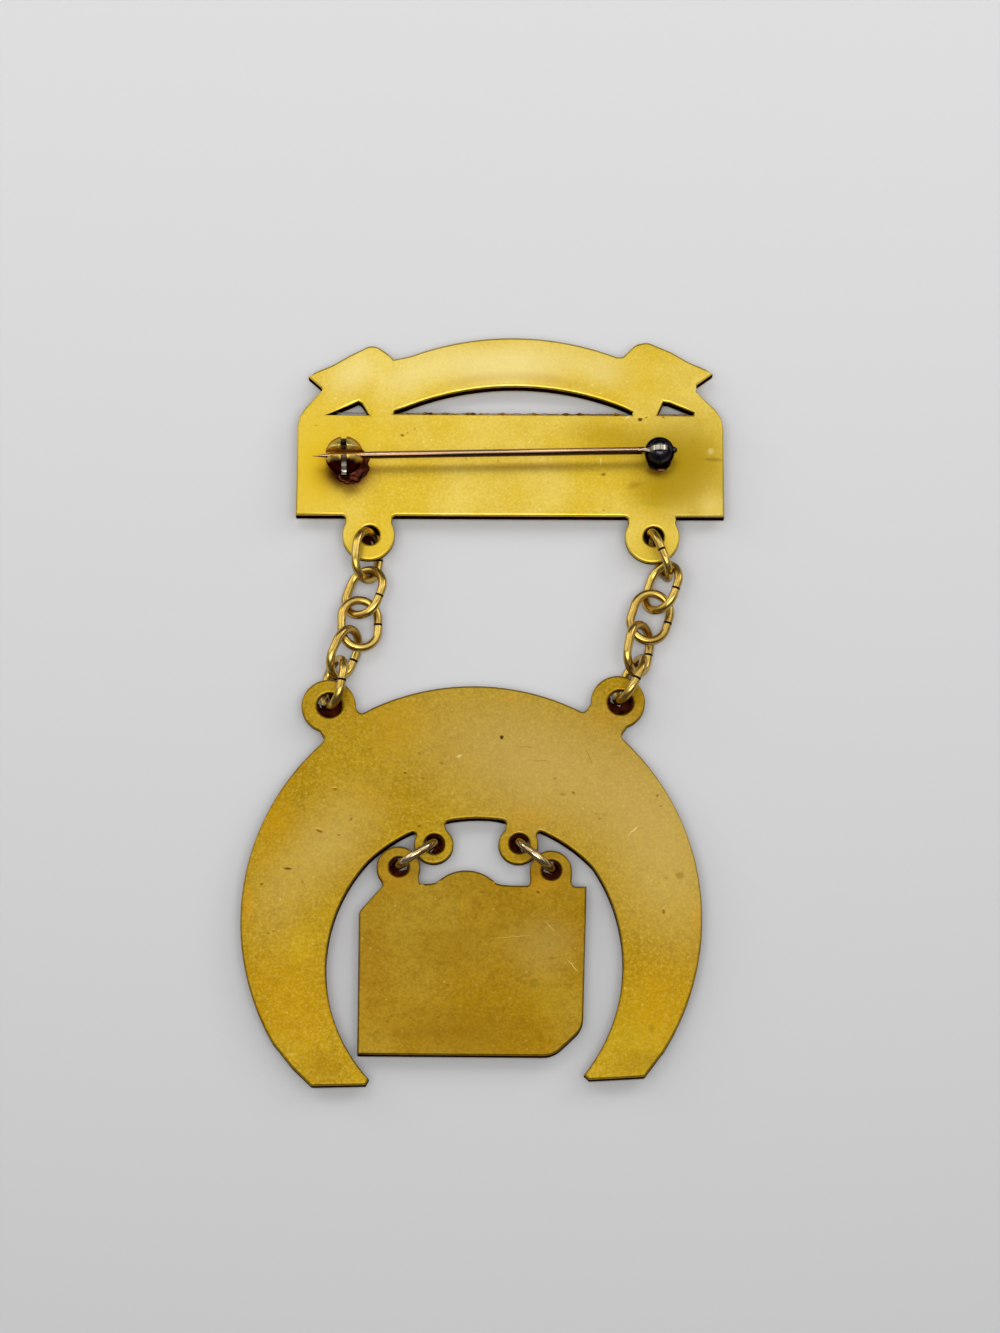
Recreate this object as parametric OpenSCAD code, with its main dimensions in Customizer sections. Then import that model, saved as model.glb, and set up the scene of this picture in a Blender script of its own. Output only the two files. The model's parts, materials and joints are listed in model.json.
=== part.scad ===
// A gilt brass badge: a bar with a brooch pin, and under it, on two short chains, a crescent that
// carries a small plaque on two jump rings.
// It lies face down: the plain raised fronts stand on z = 0, and the backs and the pin face up.
// x runs along the bar, and y from the plaque to the bar.

/* [Plates] */
// Height of the plates' backs above what the badge lies on
back_z = 2.2; // [2.1:0.05:2.4]
// Thickness of a plate at its edge
plate_t = 1.6; // [1.4:0.1:1.8]
// Thickness of the ears, flush with the backs
ear_t = 0.7; // [0.5:0.05:0.7]
// Margin from a plate's outline to the raised field on its front
field_margin = 0.9; // [0.6:0.1:1.2]

/* [Top bar] */
// Width of the bar
bar_w = 43.1; // [42.6:0.1:43.6]
// Height of the straight lower plate, up to the windows
bar_h = 10.85; // [10.7:0.05:11]
// Height of the top of the ribbon's arch
arch_h = 19.1; // [18.9:0.05:19.3]
// Radius of the ribbon's upper edge
arch_r = 28.5; // [28:0.1:29]
// Width of the ribbon at its middle
ribbon_w = 5.3; // [5:0.1:5.6]
// Radius of the holes in the bar's ears
bar_hole_r = 1; // [0.95:0.05:1.1]

/* [Crescent] */
// Width of the crescent
cres_w = 45.1; // [44.8:0.1:45.4]
// Height of the crescent's top above its middle
cres_top = 23.3; // [23.2:0.05:23.4]
// Width of the mouth
mouth_w = 28.85; // [28.7:0.05:29]
// Height of the mouth's top above the crescent's middle
mouth_top = 9.8; // [9.7:0.05:9.9]
// Radius of the holes in the outer ears
outer_hole_r = 1.25; // [1.2:0.01:1.3]
// Radius of the holes in the inner ears
inner_hole_r = 0.97; // [0.95:0.01:1.05]

/* [Plaque] */
// Width of the plaque at its middle
plaque_w = 22; // [21.8:0.1:22.2]
// Height of the plaque's sides
plaque_h = 16.9; // [16.7:0.05:17]
// Size of the plaque's cut corners
plaque_cut = 2.85; // [2.6:0.05:3]
// Radius of the holes in the plaque's ears
plaque_hole_r = 0.95; // [0.9:0.01:1]

/* [Links and rings] */
// Diameter of the chain wire
wire_d = 0.78; // [0.7:0.01:0.8]
// Length of a link over all
link_l = 5.7; // [5.6:0.01:5.7]
// Width of a link over all
link_w = 4.5; // [4.4:0.01:4.5]
// Width of the cut where a link or a ring was closed
cut_w = 0.12; // [0.05:0.01:0.2]
// Outer diameter of the two jump rings
ring_d = 5; // [4.9:0.01:5]
// Diameter of the jump rings' wire
ring_wire_d = 0.8; // [0.7:0.01:0.8]

/* [Pin] */
// Height of the pin's line above what the badge lies on
pin_z = 4.2; // [4.15:0.01:4.4]
// Distance from the joint to the middle of the catch
catch_reach = 31.7; // [31.5:0.1:32]
// Distance from the joint to the pin's point
stem_l = 34.9; // [34.5:0.1:35.5]
// Radius of the pin wire
stem_r = 0.38; // [0.3:0.01:0.39]
// Radius of the ball of the joint
joint_r = 1.5; // [1.48:0.01:1.52]
// Radius of the ball of the catch
catch_r = 1.93; // [1.9:0.01:1.97]
// Outer radius of the safety ring
safety_r = 1.72; // [1.65:0.01:1.74]

/* [Hidden] */
$fn = 72;

bright_gilt = "#e2c63c";
satin_gilt = "#c9a62f";
dark_gilt = "#b08a1c";
wire_gilt = "#c8a040";
steel = "#8e8378";
pale_steel = "#b9b5a6";

// Where each plate lies, and how far it has turned
bar_at = [2.4, 19.35];
bar_turn = -0.3;
cres_at = [-1.4, -21.7];
plaque_at = [-1.5, -35.5];
plaque_turn = -0.9;
joint_at = [17.45, 25.6];
pin_turn = 1;

// A plate stands on a raised field that is as high as the rest of the back's height
field_h = back_z - plate_t;
ear_z = back_z - ear_t;
grip = 0.2;
// Cuts run this far past what they cut
over = 1;

// Ears: centre of the ear, centre of its hole, radius of the ear, and the neck's width, length and turn
X = 0;
Y = 1;
HOLE_X = 2;
HOLE_Y = 3;
EAR_R = 4;
NECK_W = 5;
NECK_L = 6;
NECK_TURN = 7;
bar_ears = [
    [-14.2, -2.1, -14.05, -2.1, 2.65, 4.7, 3, 0],
    [14.3, -2.15, 14.45, -2.1, 2.75, 4.8, 3, 0]];
outer_ears = [
    [-14.2, 21.25, -14.1, 21.3, 2.7, 4.3, 3.6, 214],
    [14.5, 21.65, 14.75, 21.6, 2.7, 4.3, 4.2, 146]];
inner_ears = [
    [-3.7, 7.1, -3.65, 7.2, 1.95, 3, 3.2, 12],
    [4.6, 7.1, 4.7, 7.25, 1.98, 3.2, 3.2, -12]];
plaque_ears = [
    [-7.35, 18.5, -7.3, 18.6, 2.08, 3.6, 2.6, 190],
    [7.6, 18.4, 7.65, 18.5, 2, 4, 2.5, 180]];

// Ends of the bar: side of the bar, how far its scroll stands above the mean, how far out the middle
// of the scroll's fold lies, and where the fold's inner flank reaches the ribbon
SIDE = 0;
LIFT = 1;
FOLD = 2;
FLANK = 3;
bar_ends = [[-1, -0.25, 14.1, 12.7], [1, 0.25, 13.8, 11.2]];
fold_r = 1.45;

// The ribbon and the big window under it lie a little right of the bar's middle
ribbon_x = 0.3;
window_x = 0.5;
window_half = 12;
arc_fn = 180;

// Radii of the left side, the right side and the top, and how far the sides' centres lie off the middle
LEFT_R = 0;
RIGHT_R = 1;
TOP_R = 2;
LEFT_Y = 3;
RIGHT_Y = 4;
TOP_X = 5;
cres_arcs = [24.25, 24.85, 23.15, -0.3, 0, 0.15];
mouth_arcs = [16, 17.5, 15.25, -5.2, -4.75, 0.3];
mouth_x = 0.3;

// Links of the chains: centre, then yaw, then how far the link leans over from lying flat
PX = 0;
PY = 1;
PZ = 2;
YAW = 3;
LEAN = 4;
left_chain = [
    [-11.9, 15.2, 1.95, -5, 54],
    [-12.2, 11.4, 1.7, -20, -28],
    [-12.6, 8.1, 1.8, 0, 14],
    [-14.1, 5, 2.1, -22, 60],
    [-15.1, 1.9, 2.1, -10, -62]];
right_chain = [
    [17.4, 15.1, 2.3, 21, -85],
    [17.6, 11.7, 2.3, -18, -42],
    [16.4, 8.8, 1.8, -17, 12],
    [15.2, 5.4, 2.05, -10, 56],
    [14.3, 2.2, 2.2, -27, -68]];

// Jump rings: height of the middle, and the lean towards the plaque's side
ring_z = 2.5;
ring_lean = 9;

function turned(p, a) = [p[X] * cos(a) - p[Y] * sin(a), p[X] * sin(a) + p[Y] * cos(a)];
function hole_of(ear) = [ear[HOLE_X], ear[HOLE_Y]];

// Outlines of the plates

module ear_outline(ear) {
    translate([ear[X], ear[Y]]) {
        circle(ear[EAR_R]);
        rotate(ear[NECK_TURN]) translate([-ear[NECK_W] / 2, 0]) square([ear[NECK_W], ear[NECK_L]]);
    }
}

module ears(list) {
    translate([0, 0, ear_z]) linear_extrude(ear_t) for (ear = list) ear_outline(ear);
}

module ear_holes(list, r) {
    for (ear = list) translate([ear[HOLE_X], ear[HOLE_Y], -over]) cylinder(h = back_z + 2 * over, r = r);
}

// Half of the bar's outline, from its middle to its right end, with the scroll's tail and fold
module bar_half(end) {
    half = bar_w / 2;
    saddle = bar_h + 6.25;
    notch = bar_h + 2.5;
    tail = bar_h + 4.2 + end[LIFT];
    fold = [end[FOLD], bar_h + 6.1 + end[LIFT]];
    polygon([[0, 0], [half, 0], [half, bar_h - 1.3], [half - 0.2, bar_h - 0.3],
        [half - 0.75, bar_h + 0.6], [half - 2.4, notch], [half - 2.35, notch + 0.5 + end[LIFT]],
        [half - 1, tail], [half - 1.7, tail + 0.5], [half - 3.4, tail + 1.25], [half - 5.2, tail + 2.35],
        [fold[X] + 0.8, fold[Y] + 1.2], [fold[X] - 0.95, fold[Y] + 1.1], [end[FLANK], saddle],
        [0, saddle]]);
    translate(fold) circle(fold_r);
}

module ribbon_disc(x, top) {
    translate([x, top - arch_r]) circle(arch_r, $fn = arc_fn);
}

module bar_outline() {
    for (end = bar_ends) mirror([end[SIDE] < 0 ? 1 : 0, 0]) bar_half(end);
    intersection() {
        ribbon_disc(ribbon_x, arch_h);
        translate([-bar_w / 2, bar_h]) square([bar_w, arch_h]);
    }
}

module bar_windows() {
    intersection() {
        ribbon_disc(window_x, arch_h - ribbon_w);
        translate([window_x - window_half, bar_h]) square([2 * window_half, arch_h]);
    }
    polygon([[-18.7, bar_h - 0.15], [-15.4, bar_h + 1.3], [-14.8, bar_h + 1.15], [-14.3, bar_h - 0.15]]);
    polygon([[14.9, bar_h], [15.5, bar_h + 1.4], [16.1, bar_h + 1.3], [18.6, bar_h + 0.25], [18.5, bar_h]]);
}

module bar_field() {
    m = field_margin;
    translate([m - bar_w / 2, m]) square([bar_w - 2 * m, bar_h - 2 * m]);
    intersection() {
        difference() {
            ribbon_disc(ribbon_x, arch_h - m);
            ribbon_disc(window_x, arch_h - ribbon_w + m);
        }
        translate([-window_half, bar_h + m]) square([2 * window_half, arch_h]);
    }
}

// A shape with round sides and a round top, each an arc of its own
module three_arcs(arcs, w, top, grow) {
    intersection() {
        translate([arcs[LEFT_R] - w / 2, arcs[LEFT_Y]]) circle(arcs[LEFT_R] + grow, $fn = arc_fn);
        translate([w / 2 - arcs[RIGHT_R], arcs[RIGHT_Y]]) circle(arcs[RIGHT_R] + grow, $fn = arc_fn);
        translate([arcs[TOP_X], top - arcs[TOP_R]]) circle(arcs[TOP_R] + grow, $fn = arc_fn);
    }
}

// What the tips' ends leave of the crescent, from the left tip round to the right one
module crescent_ends(inset) {
    translate([0, inset]) polygon([[-30, 30], [-30, 0], [-18.6, -13.3], [-17.3, -14.95], [-15.4, -16.75],
        [-10.2, -16.65], [-9.6, -15.6], [10.6, -15.4], [11.4, -16.15], [16.75, -15.85], [18.3, -13.8],
        [30, 0], [30, 30]]);
}

module crescent_outline(inset = 0) {
    intersection() {
        difference() {
            three_arcs(cres_arcs, cres_w, cres_top, -inset);
            translate([mouth_x, 0]) three_arcs(mouth_arcs, mouth_w, mouth_top, inset);
        }
        crescent_ends(inset);
    }
}

// The plaque widens a little upwards, and has a dome between its ears
dome_x = -0.65;
dome_r = 3.95;
dome_top = plaque_h + 1.45;
taper = 0.1;

module plaque_outline(inset = 0) {
    m = inset;
    side = plaque_w / 2;
    polygon([[m - side + taper, m - 0.05], [side - plaque_cut - m / 2 - taper, m + 0.1],
        [side - taper - m, plaque_cut + m / 2], [side + taper - m, plaque_h - m],
        [m / 2 - side + plaque_cut - 0.5, plaque_h - m], [m - side - taper, plaque_h - plaque_cut - m / 2]]);
    intersection() {
        translate([dome_x, dome_top - dome_r]) circle(dome_r - inset);
        translate([-side / 2, plaque_h / 2]) square([side, plaque_h]);
    }
}

// Pin joint and catch, in the pin's own line: the joint is at the origin and the catch is on -x

// The stem's eye turns between the two halves of the ball, above the ball's middle, and the floor of
// the slot stops the stem at rest
joint_drop = 0.5;
slot_w = 0.6;
eye_t = 0.5;
eye_r = 1.05;
rivet_r = 0.36;
rivet_gap = 0.06;
slot_gap = 0.07;
slot_floor = -0.44;
slot_back = 0.6;
rivet_l = 2.75;

// Posts carry the joint and the catch, and the solder spreads round them
foot = back_z - pin_z - grip;
joint_post_r = 1.2;
joint_solder_r = 1.6;
catch_post_r = 1.5;
catch_solder_r = 2.25;
catch_solder_x = 0.6;
post_h = 1.1;
solder_h = 0.5;

module joint_body() {
    difference() {
        union() {
            translate([0, 0, -joint_drop]) sphere(joint_r);
            translate([0, 0, foot]) cylinder(h = post_h, r = joint_post_r);
            translate([0, 0, foot]) cylinder(h = solder_h, r = joint_solder_r);
        }
        rotate([90, 0, 0]) cylinder(h = slot_w, r = eye_r + slot_gap, center = true);
        translate([-2 * joint_r, -slot_w / 2, slot_floor]) cube([2 * joint_r, slot_w, 2 * joint_r]);
        translate([-2 * joint_r, -slot_w / 2, 0]) cube([2 * joint_r + slot_back, slot_w, 2 * joint_r]);
    }
    rotate([90, 0, 0]) cylinder(h = rivet_l, r = rivet_r, center = true);
}

// The ring runs round a sleeve in the ball, and the pin drops in through a slot from above
groove_w = 0.6;
groove_r = 1.8;
groove_low = -1.1;
sleeve_r = 0.72;
sleeve_l = 2;
bore_r = 0.43;

module catch_body() {
    through = 3 * catch_r;
    difference() {
        union() {
            sphere(catch_r);
            translate([0, 0, foot]) cylinder(h = post_h, r = catch_post_r);
            translate([catch_solder_x, 0, foot]) cylinder(h = solder_h, r = catch_solder_r);
        }
        difference() {
            union() {
                rotate([0, 90, 0]) cylinder(h = groove_w, r = groove_r, center = true);
                translate([-groove_w / 2, -through / 2, groove_low]) cube([groove_w, through, through]);
            }
            rotate([0, 90, 0]) cylinder(h = sleeve_l, r = sleeve_r, center = true);
        }
        rotate([0, 90, 0]) cylinder(h = through, r = bore_r, center = true);
        translate([-through / 2, -bore_r, 0]) cube([through, 2 * bore_r, through]);
    }
}

// Sub-parts

module top_bar() {
    color(bright_gilt) {
        translate([bar_at[X], bar_at[Y], 0]) rotate(bar_turn) difference() {
            union() {
                translate([0, 0, field_h]) linear_extrude(plate_t) difference() {
                    bar_outline();
                    bar_windows();
                }
                linear_extrude(field_h + grip) bar_field();
                ears(bar_ears);
            }
            ear_holes(bar_ears, bar_hole_r);
        }
        translate([joint_at[X], joint_at[Y], pin_z]) rotate(pin_turn) {
            joint_body();
            translate([-catch_reach, 0, 0]) catch_body();
        }
    }
}

// Pin wire: distance from the joint and radius, from the flat neck to the ground point
AT = 0;
WIRE_R = 1;
stem_wire = [[1.8, stem_r], [28.4, stem_r], [33.2, 0.24], [stem_l, 0.03]];
neck_l = 1.2;

module pin_stem() {
    color(steel) translate([joint_at[X], joint_at[Y], pin_z]) rotate(pin_turn) difference() {
        union() {
            rotate([90, 0, 0]) cylinder(h = eye_t, r = eye_r, center = true);
            translate([-neck_l - 1, -eye_t / 2, -stem_r]) cube([neck_l, eye_t, 2 * stem_r]);
            for (i = [1:len(stem_wire) - 1]) let (a = stem_wire[i - 1], b = stem_wire[i])
                translate([-a[AT], 0, 0]) rotate([0, -90, 0])
                    cylinder(h = b[AT] - a[AT], r1 = a[WIRE_R], r2 = b[WIRE_R]);
        }
        rotate([90, 0, 0]) cylinder(h = 2 * eye_t, r = rivet_r + rivet_gap, center = true);
    }
}

// Safety ring: its gap is in line with the slot, and its thumb tab stands out on the plaque's side
ring_t = 0.5;
ring_bore_r = 0.8;
tab_turn = 150;
tab_reach = 2.45;
tab_r = 0.3;
gap_w = 1;

module ring_tab() {
    rotate([tab_turn, 0, 0]) {
        translate([-ring_t / 2, ring_bore_r, -tab_r]) cube([ring_t, tab_reach - ring_bore_r, 2 * tab_r]);
        translate([0, tab_reach, 0]) rotate([0, 90, 0]) cylinder(h = ring_t, r = tab_r, center = true);
    }
}

module catch_ring() {
    color(pale_steel) translate([joint_at[X], joint_at[Y], pin_z]) rotate(pin_turn)
        translate([-catch_reach, 0, 0]) difference() {
            union() {
                rotate([0, 90, 0]) cylinder(h = ring_t, r = safety_r, center = true);
                ring_tab();
            }
            rotate([0, 90, 0]) cylinder(h = 2 * ring_t, r = ring_bore_r, center = true);
            translate([-ring_t, -gap_w / 2, 0]) cube([2 * ring_t, gap_w, 2 * safety_r]);
        }
}

// Half of a link: one round end and the straight after it
module half_link(end_r, straight) {
    translate([0, straight / 2, 0]) rotate_extrude(angle = 180) translate([end_r, 0]) circle(d = wire_d);
    translate([end_r, -straight / 2, 0]) rotate([-90, 0, 0]) cylinder(h = straight, d = wire_d);
}

// A long link lies flat along y at the origin, with its cut in the straight on +x
module wire_link() {
    end_r = (link_w - wire_d) / 2;
    difference() {
        for (turn = [0, 180]) rotate(turn) half_link(end_r, link_l - link_w);
        translate([end_r - wire_d, -cut_w / 2, -wire_d]) cube([2 * wire_d, cut_w, 2 * wire_d]);
    }
}

module chain_link(pose) {
    color(wire_gilt) translate([pose[PX], pose[PY], pose[PZ]]) rotate(pose[YAW])
        rotate([0, pose[LEAN], 0]) wire_link();
}

module crescent() {
    color(satin_gilt) translate([cres_at[X], cres_at[Y], 0]) difference() {
        union() {
            translate([0, 0, field_h]) linear_extrude(plate_t) crescent_outline();
            linear_extrude(field_h + grip) crescent_outline(field_margin);
            ears(outer_ears);
            ears(inner_ears);
        }
        ear_holes(outer_ears, outer_hole_r);
        ear_holes(inner_ears, inner_hole_r);
    }
}

module plaque() {
    color(dark_gilt) translate([plaque_at[X], plaque_at[Y], 0]) rotate(plaque_turn) difference() {
        union() {
            translate([0, 0, field_h]) linear_extrude(plate_t) plaque_outline();
            linear_extrude(field_h + grip) plaque_outline(field_margin);
            ears(plaque_ears);
        }
        ear_holes(plaque_ears, plaque_hole_r);
    }
}

// A jump ring stands midway between the two holes that it joins
module drop_ring(i, lean) {
    upper = cres_at + hole_of(inner_ears[i]);
    lower = plaque_at + turned(hole_of(plaque_ears[i]), plaque_turn);
    middle = (upper + lower) / 2;
    way = upper - lower;
    ring_r = (ring_d - ring_wire_d) / 2;
    color(wire_gilt) translate([middle[X], middle[Y], ring_z]) rotate(atan2(way[Y], way[X]) - 90)
        rotate([0, 90 + lean, 0]) difference() {
            rotate_extrude() translate([ring_r, 0]) circle(d = ring_wire_d);
            rotate(35) translate([ring_r - ring_wire_d, -cut_w / 2, -ring_wire_d])
                cube([2 * ring_wire_d, cut_w, 2 * ring_wire_d]);
        }
}

top_bar();
pin_stem();
catch_ring();
for (i = [0:4]) {
    chain_link(left_chain[i]);
    chain_link(right_chain[i]);
}
crescent();
drop_ring(0, ring_lean);  // left_drop_ring
drop_ring(1, -ring_lean);  // right_drop_ring
plaque();
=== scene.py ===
import json
import math

import bmesh
import bpy
from mathutils import Matrix, Vector, noise


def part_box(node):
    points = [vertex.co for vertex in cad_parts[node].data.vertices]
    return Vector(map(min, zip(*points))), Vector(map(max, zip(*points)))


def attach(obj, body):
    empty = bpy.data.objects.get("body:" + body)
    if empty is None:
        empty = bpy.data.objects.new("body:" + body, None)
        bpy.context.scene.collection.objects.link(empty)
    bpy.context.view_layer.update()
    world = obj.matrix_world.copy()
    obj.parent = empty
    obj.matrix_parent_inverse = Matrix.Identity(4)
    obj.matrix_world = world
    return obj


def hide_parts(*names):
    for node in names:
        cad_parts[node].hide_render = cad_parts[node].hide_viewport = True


# A gilt brass badge that lies on its front: plates with satin backs, polished chain links and jump
# rings, and a brooch pin with a ball catch and a blackened joint.

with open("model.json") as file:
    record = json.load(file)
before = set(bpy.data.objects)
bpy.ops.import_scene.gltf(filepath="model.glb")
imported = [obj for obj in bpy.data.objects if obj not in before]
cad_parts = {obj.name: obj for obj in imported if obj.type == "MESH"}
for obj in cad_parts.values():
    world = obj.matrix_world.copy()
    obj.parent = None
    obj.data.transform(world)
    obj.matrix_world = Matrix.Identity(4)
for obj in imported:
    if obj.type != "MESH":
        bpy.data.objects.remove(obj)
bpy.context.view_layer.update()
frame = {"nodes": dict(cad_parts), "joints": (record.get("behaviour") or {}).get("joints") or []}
mm = 0.001
print("frame loaded:", len(frame["nodes"]), "nodes")

hinges = {joint["name"]: joint for joint in frame["joints"]}
jointAt = Vector(hinges["pin_hinge"]["pos_m"])
catchAt = Vector(hinges["catch_turn"]["pos_m"])
pinLine = (catchAt - jointAt).normalized()
pinAcross = Vector(hinges["pin_hinge"]["axis"]).normalized()
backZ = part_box("plaque")[1].z          # the plates' backs are level
levelFace = 0.9999                     # a face whose normal is this upright is flat
uprightFace = 0.15                     # a face whose normal is this level is part of a side
weld = 0.001 * mm                      # points this close are one
same = 0.01 * mm                       # places this close are level or in line
facingShare = 0.5                      # a normal with this share of a direction faces that way


# Meshes

def mergedCopy(node):
    # a node's mesh is loose triangles, so its copy is joined up before it is reshaped
    bm = bmesh.new()
    bm.from_mesh(frame["nodes"][node].data)
    bmesh.ops.remove_doubles(bm, verts=bm.verts, dist=weld)
    return bm


def flatten(bm):
    # faces that lie within half a degree of each other become one
    bmesh.ops.dissolve_limit(bm, angle_limit=math.radians(0.5), use_dissolve_boundaries=False,
                             verts=bm.verts, edges=bm.edges)


def cutAway(bm, height, above):
    # takes away what is above or below a height, and closes the holes that this leaves
    keep = {"clear_outer": above, "clear_inner": not above}
    bmesh.ops.bisect_plane(bm, geom=bm.verts[:] + bm.edges[:] + bm.faces[:], dist=weld / 2,
                           plane_co=(0, 0, height), plane_no=(0, 0, 1), **keep)
    loops = [e for e in bm.edges if e.is_boundary]
    if loops:
        bmesh.ops.triangle_fill(bm, edges=loops, use_beauty=True)
    bmesh.ops.recalc_face_normals(bm, faces=bm.faces)


def sharpEdges(bm, degrees):
    limit = math.radians(degrees)
    return [e for e in bm.edges if e.is_manifold and e.calc_face_angle() > limit]


def roundEdges(bm, edges, width, segments):
    bmesh.ops.bevel(bm, geom=edges, offset=width, offset_type="OFFSET", affect="EDGES",
                    segments=segments, profile=0.5, material=-1, miter_outer="ARC",
                    clamp_overlap=False)


def addPiece(name, bm, body, materials, nodes=(), smooth=35, flatBack=False):
    # the piece rides on a body and hides the nodes that it replaces; edges over smooth degrees stay
    # sharp, and with flatBack so do level faces
    mesh = bpy.data.meshes.new(name)
    bm.to_mesh(mesh)
    bm.free()
    mesh.shade_smooth()
    mesh.set_sharp_from_angle(angle=math.radians(smooth))
    for polygon in mesh.polygons:
        if flatBack and abs(polygon.normal.z) > levelFace:
            polygon.use_smooth = False
    for material in materials:
        mesh.materials.append(material)
    piece = bpy.data.objects.new(name, mesh)
    bpy.context.scene.collection.objects.link(piece)
    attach(piece, body)
    if nodes:
        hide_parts(*nodes)


# Materials

def linear(hexColour):
    # sRGB hex to the linear values that a shader takes
    channels = [int(hexColour[i:i + 2], 16) / 255 for i in (1, 3, 5)]
    return [c / 12.92 if c <= 0.04045 else ((c + 0.055) / 1.055) ** 2.4 for c in channels] + [1.0]


def addNode(tree, kind, inputs=None, **settings):
    node = tree.nodes.new(kind)
    for key, value in settings.items():
        setattr(node, key, value)
    for key, value in (inputs or {}).items():
        if isinstance(value, bpy.types.NodeSocket):
            tree.links.new(value, node.inputs[key])
        else:
            node.inputs[key].default_value = value
    return node


def startMetal(name, roughness):
    # a metal shader, and object coordinates in millimetres
    material = bpy.data.materials.new(name)
    material.use_nodes = True
    tree = material.node_tree
    shader = tree.nodes["Principled BSDF"]
    shader.inputs["Metallic"].default_value = 1.0
    shader.inputs["Roughness"].default_value = roughness
    place = addNode(tree, "ShaderNodeTexCoord").outputs["Object"]
    inMm = addNode(tree, "ShaderNodeMapping", {"Vector": place, "Scale": (1 / mm,) * 3})
    return material, tree, shader, inMm.outputs[0]


def mixColour(tree, share, first, second):
    return addNode(tree, "ShaderNodeMix", {0: share, 6: first, 7: second},
                   data_type="RGBA").outputs[2]


def noiseShare(tree, place, size, low, high, detail, most=1.0):
    # soft patches about size millimetres across, as a share from 0 at low to most at high
    patches = addNode(tree, "ShaderNodeTexNoise", {
        "Vector": place, "Scale": 1 / size, "Detail": detail}).outputs[0]
    return addNode(tree, "ShaderNodeMapRange", {0: patches, 1: low, 2: high, 4: most}).outputs[0]


def dotShare(tree, place, gap, size, rare):
    # scattered dots up to size millimetres across, in cells of gap millimetres; the share rare of
    # the cells has none
    cells = addNode(tree, "ShaderNodeTexVoronoi", {"Vector": place, "Scale": 1 / gap})
    pick = addNode(tree, "ShaderNodeSeparateXYZ", {0: cells.outputs["Color"]}).outputs[0]
    reach = addNode(tree, "ShaderNodeMapRange", {
        0: pick, 1: rare, 2: 1.0, 3: 0.0, 4: size / gap / 2}).outputs[0]
    return addNode(tree, "ShaderNodeMath", {0: cells.outputs["Distance"], 1: reach},
                   operation="LESS_THAN").outputs[0]


def paintMarks(tree, place, colour, height, look):
    # marks on a plate's back, in millimetres: place, length, width and turn, how soft the rim is
    # from 0 to 1, the tone, how strong it is, and how deep it goes
    for x, y, length, width, turn, soft, tone, strength, depth in look["marks"]:
        where = addNode(tree, "ShaderNodeMapping", {
            "Vector": place, "Location": (x, y, backZ / mm), "Rotation": (0, 0, math.radians(turn)),
            "Scale": (length / 2, width / 2, 1)}, vector_type="TEXTURE")
        away = addNode(tree, "ShaderNodeVectorMath", {0: where.outputs[0]}, operation="LENGTH")
        share = addNode(tree, "ShaderNodeMapRange", {
            0: away.outputs["Value"], 1: 1 - soft, 2: 1 + soft / 4, 3: strength, 4: 0.0},
            interpolation_type="SMOOTHSTEP").outputs[0]
        colour = mixColour(tree, share, colour, linear(tones[tone]))
        if depth:
            height = addNode(tree, "ShaderNodeMath", {0: share, 1: -depth, 2: height},
                             operation="MULTIPLY_ADD").outputs[0]
    return colour, height


def paintArc(tree, place, colour, arc):
    # a soft band along an arc that fades towards both ends
    out = addNode(tree, "ShaderNodeVectorMath", {0: place, 1: arc["centre"] + (backZ / mm,)},
                  operation="SUBTRACT").outputs[0]
    away = addNode(tree, "ShaderNodeVectorMath", {0: out}, operation="LENGTH").outputs["Value"]
    off = addNode(tree, "ShaderNodeMath", {0: away, 1: arc["radius"]},
                  operation="SUBTRACT").outputs[0]
    aside = addNode(tree, "ShaderNodeMath", {0: off}, operation="ABSOLUTE").outputs[0]
    across = addNode(tree, "ShaderNodeMapRange", {
        0: aside, 1: arc["core"], 2: arc["halfWidth"], 3: arc["strength"], 4: 0.0},
        interpolation_type="SMOOTHSTEP").outputs[0]
    x = addNode(tree, "ShaderNodeSeparateXYZ", {0: out}).outputs[0]
    end = addNode(tree, "ShaderNodeMath", {0: x}, operation="ABSOLUTE").outputs[0]
    along = addNode(tree, "ShaderNodeMapRange", {
        0: end, 1: arc["halfLength"] / 3, 2: arc["halfLength"], 3: 1.0, 4: 0.0},
        interpolation_type="SMOOTHSTEP").outputs[0]
    share = addNode(tree, "ShaderNodeMath", {0: across, 1: along}, operation="MULTIPLY").outputs[0]
    return mixColour(tree, share, colour, linear(tones[arc["tone"]]))


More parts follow.
